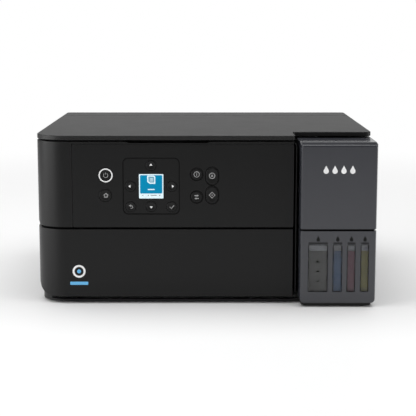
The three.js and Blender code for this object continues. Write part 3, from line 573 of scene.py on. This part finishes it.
def screen_ui():
    """What the display shows: a blue field with a page, a caption bar and a row of hints."""
    x, y, z = span("lcd_screen")
    cx, cz = middle(x), middle(z)
    front = y[0]

    def sheet(name, u, v, half_u, half_v, radius, lift, look):
        profile = [(0, front + 0.1), (0, front - lift), (0.06, front - lift - 0.02)]
        front_loft(name, cx + u, cz + v, half_u, half_v, radius, profile, "panel", "screen", look, steps=4)

    sheet("screen_glass_face", 0, -0.2, half(x) - 0.3, half(z) - 0.35, 0.6, 0.02, SCREEN_WHITE)
    sheet("screen_field", 0, 2.0, half(x) - 1.5, 10.2, 1.2, 0.05, SCREEN_BLUE)
    inner = scaled(PAGE, 0.72, 0.1, 0.1)
    at = (cx, front - 0.1, cz + 7.2)
    stamp("screen_page", [PAGE, inner], at, "panel", SCREEN_WHITE, depth=0.02)
    stamp("screen_page_fill", [inner], at, "panel", SCREEN_PALE, depth=0.015)
    for i, v in enumerate((8.3, 7.0, 5.7)):
        sheet(f"screen_page_line_{i + 1}", 0.4, v, 1.8, 0.25, 0.2, 0.13, SCREEN_WHITE)
    sheet("screen_caption", 0, -3.7, 3.9, 0.6, 0.5, 0.08, SCREEN_WHITE)
    for i, (u, half_u) in enumerate([(-9.3, 0.8), (-3.2, 0.7), (2.6, 3.4), (9.3, 0.8)]):
        sheet(f"screen_hint_{i + 1}", u, -10.2, half_u, 0.45, 0.3, 0.05, PRINT_GREY)


# ---------------------------------------------------------------- tank unit

COVER_DROP = 9.0
COVER_DROP_PITCH = 9.6
WINDOW_DROP = 6.2
WINDOW_DROP_Z = 76.6
CHAMBERS = {"black": (109.6, 136.2), "cyan": (137.8, 152), "magenta": (153.6, 166.4), "yellow": (168, 182.4)}
INK_TOP_Z = 62.2
FILTER_Z = (62.6, 76)
WINDOW_HALF_X = {"black": 10.6, "cyan": 4.9, "magenta": 4.4, "yellow": 4.3}
WINDOW_Z = (17.3, 69.9)
SLIT_Z = 71.8
LEVELS_Z = (50.8, 40.2, 29)  # the heights of the marks on the black window


def tank_marks():
    """Four drops on the tank cover and a drop over each window."""
    cover = span("tank_cover")
    z = cover[2][0] + 0.695 * (cover[2][1] - cover[2][0])
    for i in range(4):
        x = middle(cover[0]) + (i - 1.5) * COVER_DROP_PITCH
        stamp(f"cover_drop_{i + 1}", [droplet(COVER_DROP)], (x, cover[1][0] - PROUD, z), "ink_cover",
              PRINT_WHITE_GLOWING)
    front = span("tank_housing")[1][0]
    for ink in INKS:
        x = middle(span(f"tank_cap_{ink}")[0])
        stamp(f"window_drop_{ink}", [droplet(WINDOW_DROP)], (x, front - 0.01, WINDOW_DROP_Z), "root",
              DARK_PRINT_AND_SHADE)


def cover_top_shade_band():
    """A matt dark band across the sloping front of the tank cover's top: painted shade standing for the lid's
    dark reflection there.
    """
    x, y, z = span("tank_cover")
    rear, rear_z = y[0] + 13.2, z[1] - 0.42
    front, front_z = y[0] + 3.0, z[1] - 1.42
    section = [(rear, rear_z - 0.3), (rear, rear_z + 0.12), (front, front_z + 0.12), (front, front_z - 0.3)]
    bar_along_x("cover_top_shade_band", (x[0] + 1.6, x[1] - 1.6), section, "ink_cover", "smoke_grey", MATT_SMOKE_SHADE)


def ink_volumes():
    """The ink behind each window, and the pale filter over it."""
    _, y, z = span("ink_tank")
    low = z[0] + 2.0
    cy = middle(y) + 1.2
    half_y = half(y) - 3.2
    fills = [
        ("fill", [(1, low), (0, low + 1), (0, INK_TOP_Z - 0.4), (0.5, INK_TOP_Z)]),
        ("filter", [(0, FILTER_Z[0]), (0, FILTER_Z[1])]),
    ]
    for ink, x in CHAMBERS.items():
        for kind, profile in fills:
            look = INK_LOOKS[ink] if kind == "fill" else INK_FILTER
            top_loft(f"ink_{ink}_{kind}", middle(x), cy, half(x) - 0.3, half_y, 2, profile, "root",
                     "tank_clear", look)


def tank_seam():
    """The shadow between the tank cover and the windows' housing."""
    x, y, _ = span("tank_housing")
    high = span("tank_cover")[2][0] - 0.1
    low = high - 2.05
    front, rear = y[0] + 2.4, y[0] + 3.4
    section = [(front, low), (front, high), (rear, high), (rear, low)]
    bar_along_x("tank_seam", (x[0] + 2.4, x[1] - 2.4), section, "root", "smoke_grey", SHADE_AND_MARK_BLACK)


def window_painted_shades():
    """Painted shadow round the recess of each ink window and in the slit above it, and the level marks on the
    black one.
    """
    front = span("tank_housing")[1][0]
    slit = [(0, front + 0.3), (0, front - 0.05), (0.2, front - 0.08)]
    rim = [(0, front + 0.85), (0, front + 0.6), (0.7, front + 0.6), (0.7, front + 0.85)]
    for ink, half_x in WINDOW_HALF_X.items():
        x = middle(span(f"tank_cap_{ink}")[0])
        # Painted shadow in the slit above the window.
        front_loft(f"window_slit_shadow_{ink}", x, SLIT_Z, half_x, 0.7, 0.4, slit, "root", "smoke_grey", DARK_PRINT_AND_SHADE)
        # Painted shadow round the window's recess.
        front_loft(f"window_recess_shadow_{ink}", x, middle(WINDOW_Z), half_x, half(WINDOW_Z), 1, rim, "root",
                   "smoke_grey", WINDOW_RECESS_SHADE, loop=True)
    x = middle(span("tank_cap_black")[0])
    tank_front = span("ink_tank")[1][0]
    for i, z in enumerate(LEVELS_Z):
        bar = corner_ring(0, 0, 1.7, 0.5, 0.2, 3)
        stamp(f"level_mark_{i + 1}", [bar], (x, tank_front - 0.4, z), "root", SHADE_AND_MARK_BLACK,
              depth=0.15)


# ---------------------------------------------------------------- front cover badge


def cover_badge():
    """A plain ring, dot and bar near the left end of the front cover."""
    x, y, z = span("front_cover")
    centre = (x[0] + 47.5, y[0] - 0.01, z[0] + 28.5)
    below = (centre[0], centre[1], centre[2] - 13.5)
    bar = corner_ring(0, 0, 10, 1.8, 0.8, 4)
    stamp("cover_badge_ring", [circle(7.2), circle(5.0)], centre, "output_cover", PRINT_WHITE_GLOWING)
    stamp("cover_badge_dot", [circle(2.2)], centre, "output_cover", PRINT_BLUE_PAINTED_GLOW)
    stamp("cover_badge_bar", [bar], below, "output_cover", PRINT_BLUE_PAINTED_GLOW)


# ---------------------------------------------------------------- back, sides and underside

# Places on the back wall are x and z, and those under the case x and y.
REAR_VENTS = {"vent_rear_left": (-118, 128), "vent_rear_right": (118, 128)}
REAR_SCREWS = [(-172, 96), (172, 96), (-172, 160), (172, 160), (-40, 18), (30, 18)]
UNDER_SCREWS = [(-100, -60), (100, -60), (-100, 110), (110, 110), (0, 30)]
PLATE_Z = 40
USB = (-104, 27.5)  # x and z of the data socket
SIDE_VENT = (120, 40)  # y and z


def screw(name, at, facing, radius=2.9):
    """A cross-headed screw set just proud of the case."""
    outline = [circle(radius, count=24), CROSS]
    head = stamp(name, outline, at, "root", SCREW_BLACK, facing, 0.25)
    soften(head, 0.12)


def back_details():
    """Vents drawn as raised bars of painted shade, a blank rating plate, screws and the data socket's shell
    on the back wall.
    """
    back = span("rear_case")[1][1]
    for name, (x, z) in REAR_VENTS.items():
        # Each vent slot is a raised bar of painted shade.
        stamp(name, bars(9, 5.0, 24, 0.9), (x, back, z), "root", DARK_PRINT_AND_SHADE, "back", 0.2)
    plate = corner_ring(0, 0, 22, 12, 1.5, 4)
    rules = bars(5, 3.6, 18, 0.35)
    stamp("rating_plate", [plate], (0, back, PLATE_Z), "root", LABEL_GREY, "back", 0.08)
    stamp("rating_plate_rules", rules, (0, back + 0.09, PLATE_Z), "root", DARK_PRINT_AND_SHADE, "back",
          0.03)
    for i, (x, z) in enumerate(REAR_SCREWS):
        screw(f"screw_rear_{i + 1}", (x, back, z), "back")
    x, z = USB
    shell = [(0, back - 0.5), (0, back - 0.08), (1.9, back - 0.08), (1.9, back - 8)]
    tongue = [(0, back - 9.3), (0, back - 2.6), (0.3, back - 2.3)]
    front_loft("usb_shell", x, z, 7.9, 6.4, 1, shell, "root", "steel", loop=True)
    front_loft("usb_tongue", x, z + 0.3, 3.4, 1.9, 0.4, tongue, "root", "white_plastic")


def side_details():
    """Vents low on the side walls, drawn as raised bars of painted shade, and screws under the case."""
    left, right = span("bottom_case")[0]
    slots = bars(12, 4.4, 9, 0.8, upright=True)
    for side, x in (("right", right), ("left", left)):
        # Each vent slot is a raised bar of painted shade.
        stamp(f"vent_{side}", slots, (x, *SIDE_VENT), "root", DARK_PRINT_AND_SHADE, side, 0.15)
    for i, (x, y) in enumerate(UNDER_SCREWS):
        screw(f"screw_under_{i + 1}", (x, y, 8), "bottom", 3.4)


# ---------------------------------------------------------------- inside the printer

STAR_WHEELS = 10
STAR_PITCH = 21
STRIP_Z = (115.6, 120.2)
TUBE_TRAY_Z = (120.6, 122)
TUBE_PITCH = 3.4


def scale_marks():
    """Paper-size marks on the glass frame: a row of short bars and a corner mark along its left edge."""
    x, y, _ = span("scanner_glass")
    top = span("scanner_bezel")[2][1] + 0.005
    left = x[0] - 5.5
    corner = [(-3, 0), (0, 3), (0, 0)]
    stamp("glass_marks_left", bars(9, 20, 1.6, 0.3), (left, middle(y), top), "scanner_unit",
          PRINT_GREY, "top", 0.02)
    stamp("glass_corner_mark", [corner], (left + 2, y[1] - 1, top), "scanner_unit",
          PRINT_WHITE_GLOWING, "top", 0.02)


def star_wheels():
    """The bar of toothed wheels that hold the sheet on the exit roller."""
    rail("star_wheel_bar", (-140, 86), (-90, -79.5), (49.4, 53), "inner_black")
    star = []
    for i in range(32):
        reach = 4.0 if i % 2 else 3.4
        star.append((reach * math.cos(math.pi * i / 16), reach * math.sin(math.pi * i / 16)))
    hole = circle(0.7, count=12)
    for i in range(STAR_WHEELS):
        at = (-126 + i * STAR_PITCH, -84, 45.2)
        stamp(f"star_wheel_{i + 1}", [star, hole], at, "root", LOOKS["steel"], "right", 0.15)


def encoder_strip():
    """The clear ruled strip the carriage reads its place from, and its two end clips."""
    rail("encoder_strip", (-160, 160), (39.4, 39.7), STRIP_Z, "scan_glass", STRIP_CLEAR)
    clip_z = (STRIP_Z[0] - 0.8, STRIP_Z[1] + 0.8)
    for side, x in (("left", -162), ("right", 162)):
        rail(f"encoder_clip_{side}", (x - 3, x + 3), (38.2, 41.8), clip_z, "steel")


def ink_tubes():
    """Four tubes from the tank along a tray to the middle of the frame, where the moving loop would start."""
    rail("tube_tray", (-12, 98), (-101, -84), TUBE_TRAY_Z, "inner_black")
    for i, x in enumerate((-8, 88)):
        rail(f"tube_tray_leg_{i + 1}", (x - 3, x + 3), (-100.6, -95), (91, 121), "inner_black")
    lie_z = TUBE_TRAY_Z[1] + 1.6
    for i, ink in enumerate(INKS):
        step = i * TUBE_PITCH
        lie_y = -98.2 + step
        path = [(112 + step, -108.6, 98), (112 + step, -104, 116), (104, lie_y, lie_z), (60, lie_y, lie_z),
                (-10, lie_y, lie_z)]
        tube(f"ink_tube_{ink}", path, 1.3, "root", INK_LOOKS[ink])


def carriage_details():
    """A latch lid, ribs and four supply joints on top of the print carriage."""
    x, y, z = span("print_carriage")
    top = z[1]
    lid = [(0, top - 0.3), (0, top + 0.9), (0.5, top + 1.4)]
    joint = [(0, top + 1.3), (0, top + 2.6), (0.4, top + 3), (2.2, top + 3)]
    ribs = bars(6, 5.5, half(y) - 16, 0.7, upright=True)
    top_loft("carriage_lid", middle(x), middle(y), half(x) - 5, half(y) - 6, 3, lid, "carriage",
             "inner_black", LOOKS["key_black"])
    stamp("carriage_lid_ribs", ribs, (middle(x), middle(y) + 4, top + 1.5), "carriage",
          LOOKS["body_black"], "top", 0.2)
    for i, ink in enumerate(INKS):
        cx = middle(x) + (i - 1.5) * 9
        top_loft(f"carriage_joint_{ink}", cx, y[0] + 11, 3.2, 3.2, 3.2, joint, "carriage", "inner_black",
                 LOOKS["cap_" + ink])


# ---------------------------------------------------------------- stage, light and camera

FLOOR_REACH = 2.6  # metres from here down
FLOOR_FADE = (0.5, 1.5)
FLOOR_SIDES = 96
# Each lamp's place, the point it faces, its size and its power in watts.
SOFTBOXES = {
    "top_box": ((0, 0.1, 2.6), (0, 0, 0), (3.6, 3.2), 91),
    "left_box": ((-1.65, -0.82, 0.45), (0, -0.82, 0.2), (2.0, 1.4), 28),
    "right_box": ((1.8, -0.6, 0.6), (0, -0.5, 0.2), (1.2, 1.5), 11),
    "back_box": ((0, 3.2, 0.5), (0, 0, 0.1), (4.4, 1.0), 10.6),
}
CAMERA_PLACE = (0.0032, -1.458, 0.315)
CAMERA_DOWN = 9.04  # degrees below level
CAMERA_LENS = 103.6
CAMERA_SENSOR = 36


def blend_shaders(tree, factor, first, second, target):
    """Shows the first shader where the factor is 0 and the second where it is 1."""
    mix = tree.nodes.new("ShaderNodeMixShader")
    tree.links.new(factor, mix.inputs["Fac"])
    tree.links.new(first, mix.inputs[1])
    tree.links.new(second, mix.inputs[2])
    tree.links.new(mix.outputs["Shader"], target)


def floor_white():
    """A white floor finish that fades to the white of the surroundings away from the printer."""
    material, tree, shader = nodes_of("floor_white")
    shader.inputs["Base Color"].default_value = (0.845, 0.845, 0.845, 1)
    shader.inputs["Roughness"].default_value = 0.6
    shader.inputs["Specular IOR Level"].default_value = 0.2
    white = tree.nodes.new("ShaderNodeEmission")
    place = tree.nodes.new("ShaderNodeTexCoord")
    distance = tree.nodes.new("ShaderNodeVectorMath")
    distance.operation = "LENGTH"
    fade = tree.nodes.new("ShaderNodeMapRange")
    fade.interpolation_type = "SMOOTHSTEP"
    fade.inputs["From Min"].default_value = FLOOR_FADE[0]
    fade.inputs["From Max"].default_value = FLOOR_FADE[1]
    seen = tree.nodes.new("ShaderNodeLightPath")
    both = tree.nodes.new("ShaderNodeMath")
    both.operation = "MULTIPLY"
    tree.links.new(place.outputs["Object"], distance.inputs[0])
    tree.links.new(distance.outputs["Value"], fade.inputs["Value"])
    tree.links.new(fade.outputs["Result"], both.inputs[0])
    tree.links.new(seen.outputs["Is Camera Ray"], both.inputs[1])
    blend_shaders(tree, both.outputs["Value"], shader.outputs["BSDF"], white.outputs["Emission"],
                  tree.nodes["Material Output"].inputs["Surface"])
    return material


def floor():
    """A round white floor."""
    angles = [2 * math.pi * i / FLOOR_SIDES for i in range(FLOOR_SIDES)]
    rim = [(FLOOR_REACH * math.cos(a), FLOOR_REACH * math.sin(a), 0) for a in angles]
    data = bpy.data.meshes.new("floor")
    data.from_pydata(rim, [], [tuple(range(FLOOR_SIDES))])
    data.materials.append(floor_white())
    made = bpy.data.objects.new("floor", data)
    bpy.context.scene.collection.objects.link(made)


def surroundings():
    """White to look at, but dim as a light, so that the softboxes shape the object."""
    world = bpy.data.worlds.new("studio")
    bpy.context.scene.world = world
    world.use_nodes = True
    tree = world.node_tree
    dim = tree.nodes["Background"]
    white = tree.nodes.new("ShaderNodeBackground")
    for background, strength in ((dim, 0.15), (white, 1.0)):
        background.inputs["Color"].default_value = (1, 1, 1, 1)
        background.inputs["Strength"].default_value = strength
    path = tree.nodes.new("ShaderNodeLightPath")
    blend_shaders(tree, path.outputs["Is Camera Ray"], dim.outputs["Background"],
                  white.outputs["Background"], tree.nodes["World Output"].inputs["Surface"])


def softbox(name, place, aim, size, power):
    """A rectangular lamp that faces a point."""
    light = bpy.data.lights.new(name, "AREA")
    light.shape = "RECTANGLE"
    light.size, light.size_y = size
    light.energy = power
    lamp = bpy.data.objects.new(name, light)
    bpy.context.scene.collection.objects.link(lamp)
    lamp.location = place
    lamp.rotation_euler = (Vector(aim) - Vector(place)).to_track_quat("-Z", "Y").to_euler()


def camera():
    data = bpy.data.cameras.new("camera")
    data.sensor_width = CAMERA_SENSOR
    data.lens = CAMERA_LENS
    made = bpy.data.objects.new("camera", data)
    bpy.context.scene.collection.objects.link(made)
    made.location = CAMERA_PLACE
    made.rotation_euler = (math.radians(90 - CAMERA_DOWN), 0, 0)
    bpy.context.scene.camera = made


# ---------------------------------------------------------------- the whole printer

for node_name, node_object in NODES.items():
    finish_node(node_name, node_object)
for key in KEY_MARKS:
    key_cap(key)
for key in SHADE_RING_KEYS:
    key_shade_ring(key)
power_ring()
nav_pad()
screen_ui()
tank_marks()
cover_top_shade_band()
ink_volumes()
tank_seam()
window_painted_shades()
cover_badge()
back_details()
side_details()
scale_marks()
star_wheels()
encoder_strip()
ink_tubes()
carriage_details()
floor()
surroundings()
for lamp_name, (lamp_place, lamp_aim, lamp_size, lamp_power) in SOFTBOXES.items():
    softbox(lamp_name, lamp_place, lamp_aim, lamp_size, lamp_power)
camera()

bpy.context.scene.view_settings.view_transform = "Standard"
